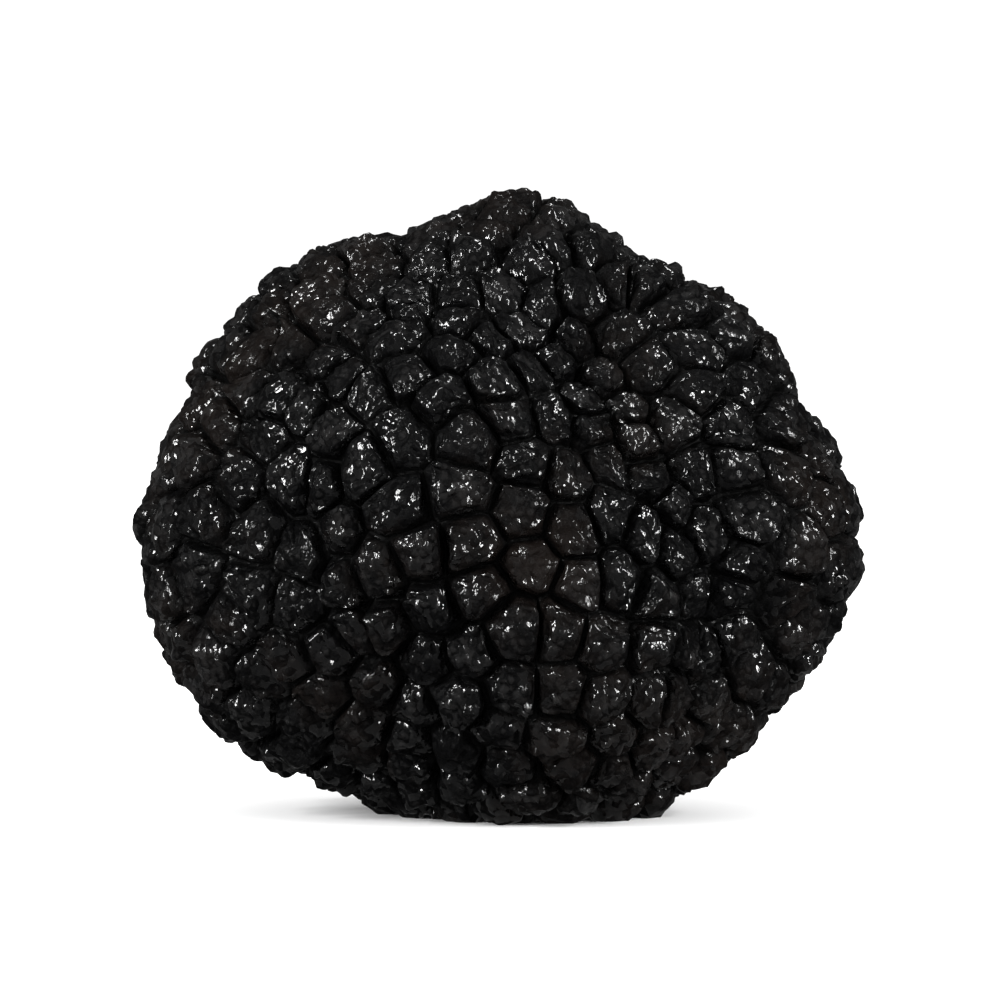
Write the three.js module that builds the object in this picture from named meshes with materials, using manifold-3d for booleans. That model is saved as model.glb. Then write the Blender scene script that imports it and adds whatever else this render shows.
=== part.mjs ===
// A whole black truffle, small enough to sit in one hand's palm: one lobed solid, covered all over
// with low angular warts that stand shoulder to shoulder, with narrow furrows between them.
// Millimetres, +Z up, front towards -Y. The origin is the middle of the box's underside, where the
// truffle rests on a small flat spot.
import * as THREE from "three";
import { ConvexHull } from "three/addons/math/ConvexHull.js";
import { mergeVertices } from "three/addons/utils/BufferGeometryUtils.js";
import Module from "manifold-3d";

// Overall size, warts included.
const WIDTH = 33;
const DEPTH = 28.5;
const HEIGHT = 28;

// The body swells into these lobes: balls round the truffle's middle, blended where they meet.
const LOBES = {
  heart: { at: [-0.8, 0.3, -0.6], radius: 12.2 },
  leftCheek: { at: [-6.0, -0.6, -1.0], radius: 10.2 },
  leftShoulder: { at: [-5.4, 0.8, 3.4], radius: 8.8 },
  crown: { at: [0.6, 0.3, 6.8], radius: 7.2 },
  rightShoulder: { at: [6.4, -0.4, 3.6], radius: 7.2 },
  rightCheek: { at: [9.0, -0.8, -1.0], radius: 7.2 },
  foot: { at: [1.4, -0.4, -5.4], radius: 8.6 },
  rightFlank: { at: [6.0, -0.8, -4.3], radius: 7.3 },
  brow: { at: [-2.4, -5.4, 1.2], radius: 8.4 },
  chin: { at: [2.2, -4.4, -3.2], radius: 8.6 },
  rightNape: { at: [3.0, 5.4, 1.2], radius: 8.4 },
  leftNape: { at: [-5.0, 4.6, -1.8], radius: 8.4 },
};
const BLEND = 24; // higher keeps the dips between lobes sharper

// Shallow dents in the body: the direction that each lies in, its depth and how narrow it is.
const DENTS = [
  { towards: [0.28, -0.72, 0.62], depth: 0.06, narrowness: 22 },
  { towards: [-0.62, -0.74, 0.1], depth: 0.045, narrowness: 26 },
  { towards: [0.72, -0.62, -0.3], depth: 0.05, narrowness: 24 },
  { towards: [0.1, 0.96, 0.3], depth: 0.07, narrowness: 18 },
  { towards: [-0.9, 0.3, 0.35], depth: 0.05, narrowness: 22 },
  { towards: [0.8, 0.55, 0.3], depth: 0.06, narrowness: 22 },
];

const REST_LEVEL = -13.07; // height under the body's middle at which the underside is flat

// Warts: how many, how tall, and where the steep flank turns into the low top.
const WARTS = 440;
const WART_HEIGHT = 1.1;
const HEIGHT_SPREAD = 0.28; // share by which the height varies from wart to wart
const SHOULDER = 0.66; // from the tip at 0 to the furrow at 1
const SHOULDER_SPREAD = 0.07;
const SHOULDER_HEIGHT = 0.64; // share of the wart's height
const SHOULDER_LIFT = 0.12;
const TIP_DRIFT = 0.17; // how far the tip strays from the wart's middle, in mean spacings
const TIP_DROP = 0.2; // share of the height by which some tips are sunk
const FURROW_DEPTH = 0.35; // the deepest that a corner between warts sinks into the body

// How the warts are scattered: an even spiral, shaken, then pushed apart a little.
const SHAKE = 0.62;
const REACH = 1.35; // in mean spacings
const PUSH = 0.16;
const SETTLING_ROUNDS = 5;
const CORNER_MERGE = 0.013; // radians: corners of warts nearer than this are one corner

// The random numbers: each is the last one times the multiplier, within the modulus.
const SEED = 20117;
const MULTIPLIER = 16807;
const MODULUS = 2147483647;

const GOLDEN_ANGLE = Math.PI * (3 - Math.sqrt(5));
const SPACING = Math.sqrt((4 * Math.PI) / WARTS);
const NEARLY_UPRIGHT = 0.9; // a direction whose z is larger needs another reference than straight up

const wasm = await Module();
wasm.setup();

let state = SEED;
function random() {
  state = (state * MULTIPLIER) % MODULUS;
  return state / MODULUS;
}

function randomAround(middle, spread) {
  return middle + (2 * random() - 1) * spread;
}

// Unit vectors spread over the sphere, one for each wart.
function scatterWarts() {
  const directions = [];
  for (let i = 0; i < WARTS; i++) {
    const z = 1 - (2 * i + 1) / WARTS;
    const ring = Math.sqrt(1 - z * z);
    const turn = i * GOLDEN_ANGLE;
    const direction = new THREE.Vector3(ring * Math.cos(turn), ring * Math.sin(turn), z);
    direction.x += randomAround(0, SHAKE * SPACING);
    direction.y += randomAround(0, SHAKE * SPACING);
    direction.z += randomAround(0, SHAKE * SPACING);
    directions.push(direction.normalize());
  }
  for (let round = 0; round < SETTLING_ROUNDS; round++) {
    pushApart(directions);
  }
  return directions;
}

// Moves each direction away from those within reach of it.
function pushApart(directions) {
  const reach = REACH * SPACING;
  const moves = directions.map((here) => {
    const move = new THREE.Vector3();
    for (const other of directions) {
      const gap = here.distanceTo(other);
      if (other !== here && gap < reach) {
        const away = new THREE.Vector3().subVectors(here, other).normalize();
        move.addScaledVector(away, PUSH * (reach - gap));
      }
    }
    return move;
  });
  directions.forEach((direction, i) => direction.add(moves[i]).normalize());
}

// The corners that each wart shares with its neighbours, in order round it. The warts' middles make
// a hull of triangles, and the direction that a triangle faces is the corner of its three warts.
function wartOutlines(middles) {
  const hull = new ConvexHull().setFromPoints(middles);
  const indexOf = new Map(middles.map((middle, i) => [middle, i]));
  const corners = [];
  const cornersOf = middles.map(() => []);
  for (const face of hull.faces) {
    let corner = corners.findIndex((known) => known.distanceTo(face.normal) < CORNER_MERGE);
    if (corner < 0) {
      corner = corners.push(face.normal.clone()) - 1;
    }
    for (let side = 0; side < 3; side++) {
      const around = cornersOf[indexOf.get(face.getEdge(side).head().point)];
      if (!around.includes(corner)) around.push(corner);
    }
  }
  cornersOf.forEach((around, i) => sortRound(around, corners, middles[i]));
  return { corners, cornersOf };
}

// Sorts a wart's corners anticlockwise, seen from outside.
function sortRound(around, corners, middle) {
  const isUpright = Math.abs(middle.z) > NEARLY_UPRIGHT;
  const reference = isUpright ? new THREE.Vector3(1, 0, 0) : new THREE.Vector3(0, 0, 1);
  const right = new THREE.Vector3().crossVectors(reference, middle).normalize();
  const up = new THREE.Vector3().crossVectors(middle, right);
  const turn = (corner) => Math.atan2(corners[corner].dot(up), corners[corner].dot(right));
  around.sort((a, b) => turn(a) - turn(b));
}

// How far the body reaches in a direction, before its warts.
function bodyReach(direction) {
  let sum = 0;
  for (const lobe of Object.values(LOBES)) {
    const at = new THREE.Vector3(...lobe.at);
    const along = direction.dot(at);
    const halfChord = along * along - at.lengthSq() + lobe.radius ** 2;
    if (halfChord > 0) sum += (along + Math.sqrt(halfChord)) ** BLEND;
  }
  let reach = sum ** (1 / BLEND);
  for (const dent of DENTS) {
    const towards = new THREE.Vector3(...dent.towards).normalize();
    reach *= 1 - dent.depth * Math.exp(dent.narrowness * (direction.dot(towards) - 1));
  }
  return reach;
}

// The point of the surface that lies in a direction, raised by some height.
function surfacePoint(direction, height) {
  const point = direction.clone().normalize();
  return point.multiplyScalar(bodyReach(point) + height);
}

// One wart: steep flanks from the furrow to a shoulder, then a low pyramid up to its tip.
// The first vertices are the corners themselves, in their own order.
function addWart(middle, around, corners, vertices, triangles) {
  const height = WART_HEIGHT * randomAround(1, HEIGHT_SPREAD);
  const tip = middle.clone();
  tip.x += randomAround(0, TIP_DRIFT * SPACING);
  tip.y += randomAround(0, TIP_DRIFT * SPACING);
  tip.z += randomAround(0, TIP_DRIFT * SPACING);
  tip.normalize();
  const tipVertex = vertices.push(surfacePoint(tip, height * (1 - TIP_DROP * random()))) - 1;
  const shoulder = around.map((corner) => {
    const out = randomAround(SHOULDER, SHOULDER_SPREAD);
    const lift = height * randomAround(SHOULDER_HEIGHT, SHOULDER_LIFT);
    return vertices.push(surfacePoint(tip.clone().lerp(corners[corner], out), lift)) - 1;
  });
  around.forEach((corner, i) => {
    const next = (i + 1) % around.length;
    const nextCorner = around[next];
    triangles.push(tipVertex, shoulder[i], shoulder[next]);
    triangles.push(shoulder[i], corner, nextCorner);
    triangles.push(shoulder[i], nextCorner, shoulder[next]);
  });
}

// The body with all its warts, before the flat spot.
function wartedBody() {
  const middles = scatterWarts();
  const { corners, cornersOf } = wartOutlines(middles);
  const vertices = corners.map((corner) => surfacePoint(corner, -FURROW_DEPTH * random()));
  const triangles = [];
  middles.forEach((middle, i) => addWart(middle, cornersOf[i], corners, vertices, triangles));
  const geometry = new THREE.BufferGeometry().setFromPoints(vertices);
  geometry.setIndex(triangles);
  return geometry;
}

function solidOf(geometry) {
  const vertProperties = new Float32Array(geometry.getAttribute("position").array);
  const triVerts = new Uint32Array(geometry.index.array);
  return new wasm.Manifold(new wasm.Mesh({ numProp: 3, vertProperties, triVerts }));
}

function geometryOf(solid) {
  const { vertProperties, triVerts } = solid.getMesh();
  const geometry = new THREE.BufferGeometry();
  geometry.setAttribute("position", new THREE.BufferAttribute(vertProperties, 3));
  geometry.setIndex(new THREE.BufferAttribute(triVerts, 1));
  return geometry;
}

// Cuts away what reaches under the rest level, which leaves the small flat spot.
function cutFlatSpot(geometry) {
  const side = 2 * WIDTH;
  const ground = new THREE.BoxGeometry(side, side, side).translate(0, 0, REST_LEVEL - side / 2);
  ground.deleteAttribute("normal");
  ground.deleteAttribute("uv");
  return geometryOf(solidOf(geometry).subtract(solidOf(mergeVertices(ground))));
}

// Stretches the truffle to fill its box, with the origin in the middle of the box's underside.
function fitToSize(geometry) {
  geometry.computeBoundingBox();
  const box = geometry.boundingBox;
  const size = box.getSize(new THREE.Vector3());
  const middle = box.getCenter(new THREE.Vector3());
  geometry.translate(-middle.x, -middle.y, -box.min.z);
  geometry.scale(WIDTH / size.x, DEPTH / size.y, HEIGHT / size.z);
  geometry.computeVertexNormals();
  return geometry;
}

function truffleSkin() {
  return new THREE.MeshStandardMaterial({
    name: "truffle_skin",
    color: 0x171614,
    roughness: 0.55,
    metalness: 0,
    flatShading: true,
  });
}

const truffle = new THREE.Mesh(fitToSize(cutFlatSpot(wartedBody())), truffleSkin());
truffle.name = "truffle";

const part = new THREE.Group();
part.add(truffle);

export default part;
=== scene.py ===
import math

import bmesh
import bpy
import numpy as np
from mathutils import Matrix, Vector, noise
from mathutils.bvhtree import BVHTree


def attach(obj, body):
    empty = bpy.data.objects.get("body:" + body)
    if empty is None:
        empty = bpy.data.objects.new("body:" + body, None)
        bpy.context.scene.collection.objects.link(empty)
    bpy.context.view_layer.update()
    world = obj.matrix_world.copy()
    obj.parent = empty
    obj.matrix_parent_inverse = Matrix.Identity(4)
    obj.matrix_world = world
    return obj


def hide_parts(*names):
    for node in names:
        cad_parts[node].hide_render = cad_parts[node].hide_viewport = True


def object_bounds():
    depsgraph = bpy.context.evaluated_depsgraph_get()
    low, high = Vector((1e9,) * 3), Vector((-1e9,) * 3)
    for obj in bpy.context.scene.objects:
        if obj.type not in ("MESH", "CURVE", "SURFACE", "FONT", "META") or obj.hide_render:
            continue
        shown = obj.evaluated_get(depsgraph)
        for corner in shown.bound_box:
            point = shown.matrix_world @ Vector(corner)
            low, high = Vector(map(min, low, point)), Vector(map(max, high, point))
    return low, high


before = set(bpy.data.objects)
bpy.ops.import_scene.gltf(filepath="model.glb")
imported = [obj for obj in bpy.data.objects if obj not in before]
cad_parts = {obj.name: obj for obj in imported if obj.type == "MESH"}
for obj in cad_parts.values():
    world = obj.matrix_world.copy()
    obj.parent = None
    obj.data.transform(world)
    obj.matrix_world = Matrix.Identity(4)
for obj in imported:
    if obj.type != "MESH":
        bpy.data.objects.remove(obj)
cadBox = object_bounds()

mm = 0.001
print("frame loaded,", [round(side / mm, 2) for side in cadBox[1] - cadBox[0]], "mm")

# The fruit body. It starts from the solid's own facets, so every wart stays where it is.
# Lengths are in millimetres unless a note says otherwise. A rise is 0 in a furrow and 1 at a tip.
fruitBody = {
    "seed": 11,
    "weldGap": 2e-5,  # metres: the flat cut leaves slivers narrower than this
    "flatHeight": 0.02,  # lower than this is the flat spot
    "valleyAngle": 0.25,  # radians: a fold sharper than this is a furrow
    "shoulderRise": 0.66,
    "cuts": 4,  # a facet becomes (cuts + 1) squared
    "evenings": 10,  # rounds of evening out which way is outward
    "roundings": 1,
    "roundingShare": 0.5,  # of the way to the neighbours' middle
    "furrowKept": (0.02, 0.3),  # rise over which rounding comes in, so furrows stay sharp
    "settle": (0.05, 0.9),  # height over which the relief comes in, above the flat spot
    "sway": [(2.4, 0.26), (0.9, 0.08)],  # sideways waver of the outlines: size, amount
    "flankSwell": 0.22,  # fills the furrows from both sides, so they are narrow
    "furrowSink": 0.05,
    "sinkBand": 0.2,  # rise up to which the furrow is sunk
    "pebbleSize": 0.85,
    "pebbleBand": (0.1, 0.45),  # rise over which the pebbles come in
    "pebbleCrack": 0.16,
    "crackWidth": 0.38,  # share of a pebble
    "pebbleStep": 0.09,
    "pebbleTilt": 0.52,
    "flutes": (9, 15),  # fewest and most round one wart
    "fluteDepth": 0.085,
    "fluteBand": (0.06, 0.32, 0.72, 1.0),  # rise: in, full, full, out
    "fluteStart": (0.31, 0.52, 0.79),  # any direction: flutes are counted from it
    "fluteTurn": 6.3,  # radians: the most by which a wart's flutes are turned
    "dimpleBand": (0.8, 1.0),  # rise over which a tip is sunk
    "dimpleDepth": 0.22,  # on the deepest of them
    "lumps": [(1.6, 0.08), (0.5, 0.055)],  # size, amount
    "spikeLimit": 0.095,  # how far a point can stray from its neighbours
    "trims": 6,
    "leastLength": 1e-9,  # so nothing is divided by zero
    "partings": 30,
    # A place times one of these falls in a cell of its own, so neighbours draw unlike numbers.
    "pebbleShuffle": 91.7,
    "fluteShuffle": 53.1,
    "toneShuffle": 17.3,
}


def ease(low, high, value):
    share = np.clip((value - low) / (high - low), 0, 1)
    return share * share * (3 - 2 * share)


def weldFacets(node):
    facets = bmesh.new()
    facets.from_mesh(node.data)
    bmesh.ops.remove_doubles(facets, verts=facets.verts, dist=fruitBody["weldGap"])
    facets.normal_update()
    return facets


def isOnFlatSpot(vertex):
    return vertex.co.z < fruitBody["flatHeight"] * mm


# A furrow vertex is where two or more sharp folds meet.
def isInFurrow(vertex):
    folds = [edge.calc_face_angle_signed(0) for edge in vertex.link_edges]
    return sum(fold < -fruitBody["valleyAngle"] for fold in folds) >= 2


# Without the furrows, what still hangs together is one wart.
def gatherWarts(facets, barred):
    warts = []
    seen = set(barred)
    for start in facets.verts:
        if start in seen:
            continue
        seen.add(start)
        wart = [start]
        for vertex in wart:
            for edge in vertex.link_edges:
                other = edge.other_vert(vertex)
                if other not in seen:
                    seen.add(other)
                    wart.append(other)
        warts.append(wart)
    return warts


# Gives each vertex its rise, and each facet the number of its wart. Returns the warts' tips.
def markWarts(facets):
    riseOf = facets.verts.layers.float.new("rise")
    wartOf = facets.faces.layers.int.new("wart")
    furrow = {vertex for vertex in facets.verts if isInFurrow(vertex)}
    flat = {vertex for vertex in facets.verts if isOnFlatSpot(vertex)}
    tips = []
    for number, wart in enumerate(gatherWarts(facets, furrow | flat)):
        inner = []
        for vertex in wart:
            around = {edge.other_vert(vertex) for edge in vertex.link_edges}
            vertex[riseOf] = fruitBody["shoulderRise"]
            if not around & (furrow | flat):
                vertex[riseOf] = 1
                inner.append(vertex)
            for facet in vertex.link_faces:
                facet[wartOf] = number
        tips.append(np.mean([vertex.co for vertex in inner or wart], axis=0) / mm)
    for vertex in flat - furrow:
        vertex[riseOf] = fruitBody["shoulderRise"]
    print(len(tips), "warts,", len(furrow), "furrow corners,", len(flat), "flat spot corners")
    return np.array(tips)


# Which way is outward at each vertex, with the warts evened out. Carving goes along it, so the
# walls of a furrow seldom pass through each other.
def markOutward(facets):
    outwardOf = facets.verts.layers.float_vector.new("outward")
    for vertex in facets.verts:
        vertex[outwardOf] = vertex.normal
    for _ in range(fruitBody["evenings"]):
        evened = []
        for vertex in facets.verts:
            around = [edge.other_vert(vertex)[outwardOf] for edge in vertex.link_edges]
            evened.append(sum(around, vertex[outwardOf].copy()).normalized())
        for vertex, outward in zip(facets.verts, evened):
            vertex[outwardOf] = outward


def splitFacets(facets):
    bmesh.ops.subdivide_edges(
        facets, edges=facets.edges, cuts=fruitBody["cuts"], use_grid_fill=True
    )
    facets.verts.index_update()


class Skin:
    def __init__(self, facets):
        riseOf = facets.verts.layers.float["rise"]
        wartOf = facets.faces.layers.int["wart"]
        outwardOf = facets.verts.layers.float_vector["outward"]
        outward = np.array([vertex[outwardOf] for vertex in facets.verts])
        self.outward = outward / np.linalg.norm(outward, axis=1)[:, None]
        self.points = np.array([vertex.co for vertex in facets.verts]) / mm
        self.rise = np.array([vertex[riseOf] for vertex in facets.verts])
        self.wart = np.array([vertex.link_faces[0][wartOf] for vertex in facets.verts])
        self.faces = np.array([[v.index for v in face.verts] for face in facets.faces])
        self.edges = np.array([[v.index for v in edge.verts] for edge in facets.edges])
        self.count = len(self.points)

    def meanOfNeighbours(self, values):
        total = np.zeros_like(values)
        links = np.zeros(self.count)
        for here, there in (self.edges.T, self.edges.T[::-1]):
            np.add.at(total, here, values[there])
            np.add.at(links, here, 1)
        return total / links[:, None]

    # How free a point is to move: not at all in the flat spot.
    def freedom(self):
        return ease(*fruitBody["settle"], self.points[:, 2])


def roundWarts(skin):
    for _ in range(fruitBody["roundings"]):
        share = fruitBody["roundingShare"] * ease(*fruitBody["furrowKept"], skin.rise)
        share *= skin.freedom()
        skin.points += share[:, None] * (skin.meanOfNeighbours(skin.points) - skin.points)


# Wavers the outlines sideways, so no furrow runs dead straight. Blender's vector noise is offset
# by its seed, which it takes from the clock unless it is set.
def swayOutlines(skin):
    noise.seed_set(fruitBody["seed"])
    sway = np.zeros_like(skin.points)
    for size, amount in fruitBody["sway"]:
        for i, point in enumerate(skin.points):
            sway[i] += amount * np.array(noise.noise_vector(Vector(point) / size))
    skin.points += skin.freedom()[:, None] * sway


# Small angular pebbles: each cell is a plane, tilted and stepped at random, that runs down into
# the crack round it.
def pebbleHeight(point):
    size = fruitBody["pebbleSize"]
    distances, centres = noise.voronoi(point / size)
    chance = noise.cell_vector(centres[0] * fruitBody["pebbleShuffle"])
    tilt = (point / size - centres[0]).dot(chance * 2 - Vector((1, 1, 1)))
    whole = ease(0, fruitBody["crackWidth"], distances[1] - distances[0])
    step = fruitBody["pebbleStep"] * (2 * chance.y - 1)
    top = fruitBody["pebbleTilt"] * size * tilt + step
    return whole * top - (1 - whole) * fruitBody["pebbleCrack"]


# Three random numbers for each wart, from where its tip is.
def chancesOfWarts(tips, shuffle):
    return np.array([noise.cell_vector(Vector(place) * shuffle) for place in tips])


# Upright grooves down a wart's flanks, counted round its tip, and a dimple on the tip.
def fluteHeights(skin, tips):
    tip = tips[skin.wart]
    fewest, most = fruitBody["flutes"]
    chance = chancesOfWarts(tips, fruitBody["fluteShuffle"])[skin.wart]
    flutes = np.round(fewest + (most - fewest) * chance[:, 0])
    outward = tip / np.linalg.norm(tip, axis=1)[:, None]
    side = np.cross(outward, fruitBody["fluteStart"])
    side /= np.linalg.norm(side, axis=1)[:, None]
    up = np.cross(outward, side)
    away = skin.points - tip
    turn = np.arctan2((away * up).sum(axis=1), (away * side).sum(axis=1))
    turn = flutes * turn + fruitBody["fluteTurn"] * chance[:, 1]
    start, full, fade, end = fruitBody["fluteBand"]
    band = ease(start, full, skin.rise) * (1 - ease(fade, end, skin.rise))
    grooves = fruitBody["fluteDepth"] * band * np.cos(turn)
    dimples = fruitBody["dimpleDepth"] * chance[:, 2] * ease(*fruitBody["dimpleBand"], skin.rise)
    return grooves - dimples


# A swell that is fullest half way up the flank, and a sunk line along the furrow.
def furrowHeights(skin):
    flank = np.clip(skin.rise / fruitBody["shoulderRise"], 0, 1)
    swell = fruitBody["flankSwell"] * 4 * flank * (1 - flank)
    return swell - fruitBody["furrowSink"] * (1 - ease(0, fruitBody["sinkBand"], skin.rise))


def carveSkin(skin, tips):
    height = fluteHeights(skin, tips) + furrowHeights(skin)
    onWart = ease(*fruitBody["pebbleBand"], skin.rise)
    for i, place in enumerate(skin.points):
        point = Vector(place)
        height[i] += onWart[i] * pebbleHeight(point)
        for size, amount in fruitBody["lumps"]:
            height[i] += amount * noise.noise(point / size)
    skin.points += (skin.freedom() * height)[:, None] * skin.outward
    skin.points[:, 2] = np.maximum(skin.points[:, 2], 0)


# Draws in what strays too far from its neighbours, save in the furrows, which stay sharp.
def trimSpikes(skin):
    for _ in range(fruitBody["trims"]):
        off = skin.points - skin.meanOfNeighbours(skin.points)
        length = np.linalg.norm(off, axis=1) + fruitBody["leastLength"]
        share = np.clip(1 - fruitBody["spikeLimit"] / length, 0, 1)
        share *= ease(*fruitBody["furrowKept"], skin.rise) * skin.freedom()
        skin.points -= share[:, None] * off


# The pairs of faces that pass through each other, not counting neighbours. Each is there twice.
def crossingFaces(skin):
    faces = skin.faces.tolist()
    tree = BVHTree.FromPolygons(skin.points.tolist(), faces)
    pairs = tree.overlap(tree)
    return [pair for pair in pairs if not set(faces[pair[0]]) & set(faces[pair[1]])]


# Evens out the few places where faces still cross, until none do.
def partFaces(skin):
    for _ in range(fruitBody["partings"]):
        pairs = crossingFaces(skin)
        print(len(pairs) // 2, "pairs of faces cross")
        if not pairs:
            break
        tangled = np.unique(skin.faces[np.unique(pairs)])
        evened = skin.meanOfNeighbours(skin.points)
        skin.points[tangled] = (skin.points[tangled] + evened[tangled]) / 2


def makeFruitBody(node):
    facets = weldFacets(node)
    tips = markWarts(facets)
    markOutward(facets)
    splitFacets(facets)
    skin = Skin(facets)
    facets.free()
    roundWarts(skin)
    swayOutlines(skin)
    carveSkin(skin, tips)
    trimSpikes(skin)
    partFaces(skin)
    mesh = bpy.data.meshes.new("fruitBody")
    mesh.from_pydata(skin.points * mm, [], skin.faces.tolist())
    tone = chancesOfWarts(tips, fruitBody["toneShuffle"])[skin.wart, 0]
    for name, values in (("rise", skin.rise), ("tone", tone)):
        mesh.attributes.new(name, "FLOAT", "POINT").data.foreach_set("value", values)
    mesh.shade_smooth()
    piece = bpy.data.objects.new("fruitBody", mesh)
    bpy.context.scene.collection.objects.link(piece)
    print("fruit body,", len(mesh.polygons), "triangles")
    return piece


fruit = makeFruitBody(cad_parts["truffle"])
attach(fruit, "root")
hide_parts("truffle")


# A value on its way through a material. Sums of wires become Math nodes.
class Wire:
    def __init__(self, recipe, socket):
        self.recipe = recipe
        self.socket = socket

    def math(self, operation, first, second):
        return self.recipe.node("ShaderNodeMath", {"operation": operation}, {0: first, 1: second})

    def __add__(self, other):
        return self.math("ADD", self, other)

    def __sub__(self, other):
        return self.math("SUBTRACT", self, other)

    def __rsub__(self, other):
        return self.math("SUBTRACT", other, self)

    def __mul__(self, other):
        return self.math("MULTIPLY", self, other)

    __radd__ = __add__
    __rmul__ = __mul__


class Recipe:
    def __init__(self, owner):
        self.owner = owner
        owner.use_nodes = True
        self.tree = owner.node_tree
        self.tree.nodes.clear()

    def node(self, nodeType, settings=None, sockets=None, output=0):
        made = self.tree.nodes.new(nodeType)
        for name, value in (settings or {}).items():
            setattr(made, name, value)
        for key, value in (sockets or {}).items():
            if isinstance(value, Wire):
                self.tree.links.new(value.socket, made.inputs[key])
            else:
                made.inputs[key].default_value = value
        return Wire(self, made.outputs[output]) if made.outputs else None

    def blendColours(self, share, first, second):
        settings = {"data_type": "RGBA"}
        return self.node("ShaderNodeMix", settings, {0: share, 6: first, 7: second}, 2)

    def band(self, value, low, high):
        sockets = {"Value": value, "From Min": low, "From Max": high}
        return self.node("ShaderNodeMapRange", {"interpolation_type": "SMOOTHSTEP"}, sockets)

    def attribute(self, name):
        return self.node("ShaderNodeAttribute", {"attribute_name": name}, None, "Fac")

    def cloud(self, place, size, detail):
        sockets = {"Vector": place, "Scale": 1 / (size * mm), "Detail": detail}
        return self.node("ShaderNodeTexNoise", None, sockets)

    def surface(self, shader):
        self.node("ShaderNodeOutputMaterial", None, {"Surface": shader})
        return self.owner


# The layers named here, each times its weight, added up.
def mixLayers(layers, weights):
    return sum(weight * layers[name] for name, weight in weights.items())


# Colours are linear. Sizes are in millimetres.
truffleSkin = {
    "furrow": (0.0015, 0.0015, 0.0015, 1),
    "body": (0.0012, 0.0012, 0.0013, 1),
    "worn": (0.0062, 0.006, 0.006, 1),
    "rust": (0.006, 0.0042, 0.0034, 1),
    "clouds": {  # size, detail
        "blotch": (8, 3),
        "grain": (0.6, 3),
        "fineGrain": (0.22, 4),
        "dampPatch": (1.6, 2),
    },
    "crumbSize": 0.42,
    "topBand": (0.02, 0.3),  # rise over which the furrow ends
    "wear": {"rise": 0.6, "tone": 0.35, "grain": 0.5, "fineGrain": 0.9, "crumb": -0.8},
    "wearBand": (0.98, 1.24),
    "wearShare": 0.8,
    "rusting": {"blotch": 1, "grain": 0.25},
    "rustBand": (0.6, 0.85),
    "rustShare": 0.6,
    "roughening": {"grain": 0.25, "tone": 0.1},  # on both sides of the skin's own roughness
    "dull": {
        "specular": 0.031,
        "roughness": 0.5,
        "bumpDepth": 0.3,
        "relief": {"grain": 0.35, "fineGrain": 0.3, "crumb": -0.35},
    },
    "damp": {
        "specular": 0.62,
        "roughness": 0.14,
        "bumpDepth": 0.26,
        "relief": {"grain": 0.5, "crumb": -0.5},
    },
    "wetting": {"dampPatch": 1, "tone": 0.15},
    "wetBand": (0.42, 0.6),
    "dampCrumbs": (0.4, 0.62),  # crumbs whose chance is above this can be damp
    "dampness": (0.16, 0.66),  # outside the patches, and how much more in them
}


# The layers that the skin's colour and relief are mixed from, each from 0 to about 1.
def skinLayers(recipe):
    place = recipe.node("ShaderNodeTexCoord", None, None, "Object")
    sockets = {"Vector": place, "Scale": 1 / (truffleSkin["crumbSize"] * mm)}
    crumbColour = recipe.node("ShaderNodeTexVoronoi", None, sockets, "Color")
    layers = {
        "rise": recipe.attribute("rise"),
        "tone": recipe.attribute("tone"),
        "crumb": recipe.node("ShaderNodeTexVoronoi", None, sockets, "Distance"),
        "crumbChance": recipe.node("ShaderNodeSeparateColor", None, {"Color": crumbColour}, "Red"),
    }
    for name, (size, detail) in truffleSkin["clouds"].items():
        layers[name] = recipe.cloud(place, size, detail)
    return layers


# Near-black skin, worn lighter and a little brown in places. The furrows look darkest, because
# they are deep.
def skinColour(recipe, layers, onTop):
    worn = recipe.band(mixLayers(layers, truffleSkin["wear"]), *truffleSkin["wearBand"])
    rusty = recipe.band(mixLayers(layers, truffleSkin["rusting"]), *truffleSkin["rustBand"])
    colour = recipe.blendColours(onTop, truffleSkin["furrow"], truffleSkin["body"])
    colour = recipe.blendColours(truffleSkin["wearShare"] * worn, colour, truffleSkin["worn"])
    rusty = truffleSkin["rustShare"] * rusty * onTop
    return recipe.blendColours(rusty, colour, truffleSkin["rust"])


def skinShader(recipe, layers, colour, facts):
    roughening = truffleSkin["roughening"]
    roughness = facts["roughness"] - sum(roughening.values()) / 2
    bump = {
        "Height": mixLayers(layers, facts["relief"]),
        "Distance": facts["bumpDepth"] * mm,
        "Strength": 1.0,
    }
    sockets = {
        "Base Color": colour,
        "Roughness": roughness + mixLayers(layers, roughening),
        "Specular IOR Level": facts["specular"],
        "Normal": recipe.node("ShaderNodeBump", None, bump),
    }
    return recipe.node("ShaderNodeBsdfPrincipled", None, sockets)


# The skin is dull, and damp crumbs glint in it, most of them in patches.
def truffleSkinMaterial():
    recipe = Recipe(bpy.data.materials.new("truffleSkin"))
    layers = skinLayers(recipe)
    onTop = recipe.band(layers["rise"], *truffleSkin["topBand"])
    colour = skinColour(recipe, layers, onTop)
    patch = recipe.band(mixLayers(layers, truffleSkin["wetting"]), *truffleSkin["wetBand"])
    dampCrumb = recipe.band(layers["crumbChance"], *truffleSkin["dampCrumbs"])
    apart, more = truffleSkin["dampness"]
    mixed = {
        0: onTop * dampCrumb * (apart + more * patch),
        1: skinShader(recipe, layers, colour, truffleSkin["dull"]),
        2: skinShader(recipe, layers, colour, truffleSkin["damp"]),
    }
    return recipe.surface(recipe.node("ShaderNodeMixShader", None, mixed))


fruit.data.materials.append(truffleSkinMaterial())
print("truffle skin made")

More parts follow.
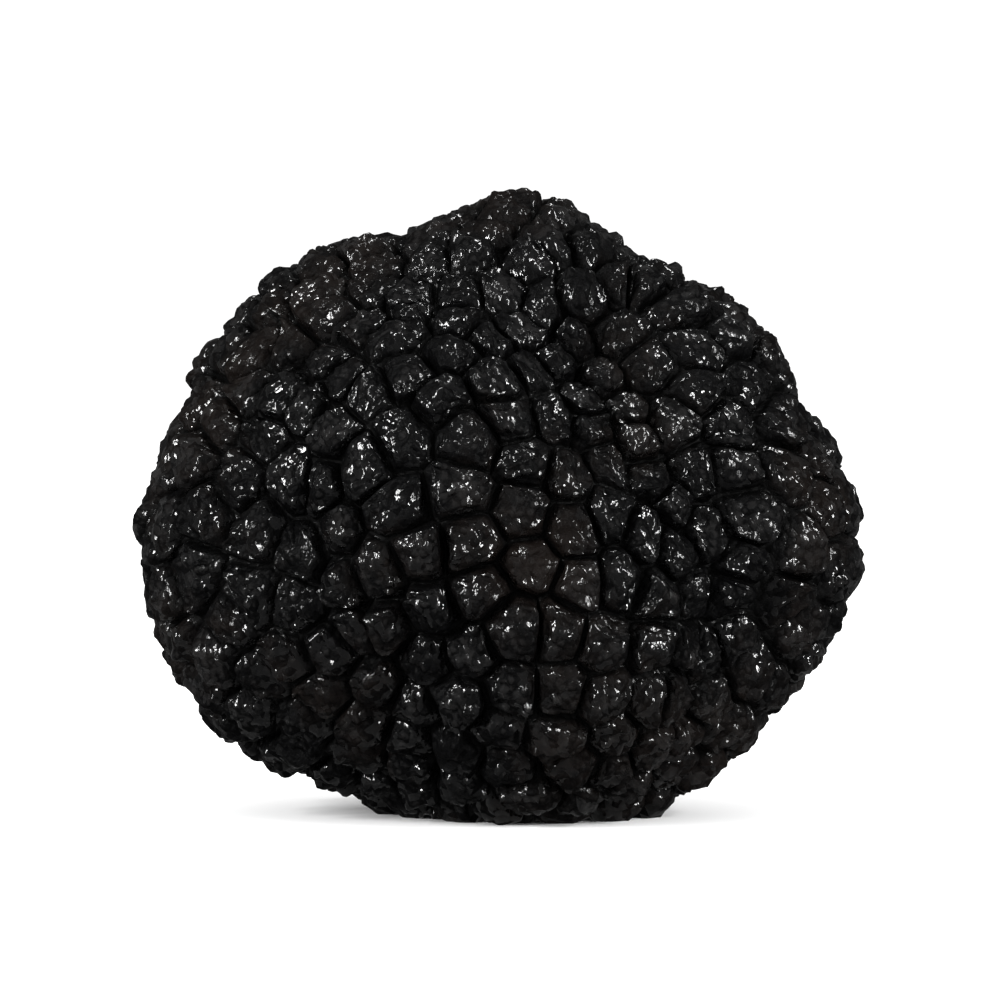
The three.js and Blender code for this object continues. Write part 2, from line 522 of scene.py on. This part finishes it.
# The stage. Lengths are in metres, save the lens and its sensor, which are in millimetres.
stage = {
    "floorRadius": 3.0,
    "floorSides": 96,
    "floorColour": (0.94, 0.94, 0.94, 1),
    "floorRoughness": 0.7,
    "floorSpecular": 0.0,  # or the far floor mirrors the dim surround
    "surround": 1.12,
    "surroundInGloss": 0.17,  # dimmer where it is reflected, as a dark room behind the camera is
    "lights": {
        "leftPanel": {"at": (-0.34, -0.22, 0.16), "size": (0.026, 0.32), "watts": 3.1},
        "rightPanel": {"at": (0.34, -0.22, 0.16), "size": (0.026, 0.32), "watts": 2.8},
        "topPanel": {"at": (0.0, 0.02, 0.42), "size": (0.06, 0.06), "watts": 0.56},
    },
    "lens": 300,
    "sensor": 36,
    "fill": 0.74,  # share of the picture's width that the truffle takes
    "elevation": 3.0,  # degrees
    "farthest": 20,  # that the camera sees
}


def makeFloor():
    recipe = Recipe(bpy.data.materials.new("paleFloor"))
    sockets = {
        "Base Color": stage["floorColour"],
        "Roughness": stage["floorRoughness"],
        "Specular IOR Level": stage["floorSpecular"],
    }
    bpy.ops.mesh.primitive_circle_add(
        vertices=stage["floorSides"],
        radius=stage["floorRadius"],
        fill_type="NGON",
        location=(0, 0, cadBox[0].z),
    )
    floor = bpy.context.object
    floor.name = "paleFloor"
    shader = recipe.node("ShaderNodeBsdfPrincipled", None, sockets)
    floor.data.materials.append(recipe.surface(shader))
    floor.visible_glossy = False  # or its white shows in every damp crumb


# Turns a light or a camera so that it looks at the target.
def aim(holder, target):
    holder.rotation_euler = (target - holder.location).to_track_quat("-Z", "Y").to_euler()


def makeLights(target):
    for name, facts in stage["lights"].items():
        light = bpy.data.lights.new(name, "AREA")
        light.shape = "RECTANGLE"
        light.size, light.size_y = facts["size"]
        light.energy = facts["watts"]
        panel = bpy.data.objects.new(name, light)
        panel.location = facts["at"]
        panel.visible_camera = False
        aim(panel, target)
        bpy.context.scene.collection.objects.link(panel)


def makeSurround():
    recipe = Recipe(bpy.data.worlds.new("surround"))
    reflected = recipe.node("ShaderNodeLightPath", None, None, "Is Glossy Ray")
    dimmer = stage["surround"] - stage["surroundInGloss"]
    sockets = {"Color": (1, 1, 1, 1), "Strength": stage["surround"] - dimmer * reflected}
    shader = recipe.node("ShaderNodeBackground", None, sockets)
    recipe.node("ShaderNodeOutputWorld", None, {"Surface": shader})
    bpy.context.scene.world = recipe.owner


def makeCamera(target, width):
    camera = bpy.data.cameras.new("camera")
    camera.lens = stage["lens"]
    camera.sensor_width = stage["sensor"]
    camera.clip_end = stage["farthest"]
    distance = width / stage["fill"] * stage["lens"] / stage["sensor"]
    lift = math.radians(stage["elevation"])
    holder = bpy.data.objects.new("camera", camera)
    holder.location = target + distance * Vector((0, -math.cos(lift), math.sin(lift)))
    aim(holder, target)
    bpy.context.scene.collection.objects.link(holder)
    bpy.context.scene.camera = holder


middle = (cadBox[0] + cadBox[1]) / 2
makeFloor()
makeLights(middle)
makeSurround()
makeCamera(middle, cadBox[1].x - cadBox[0].x)
bpy.context.scene.view_settings.view_transform = "Standard"
print("stage set")
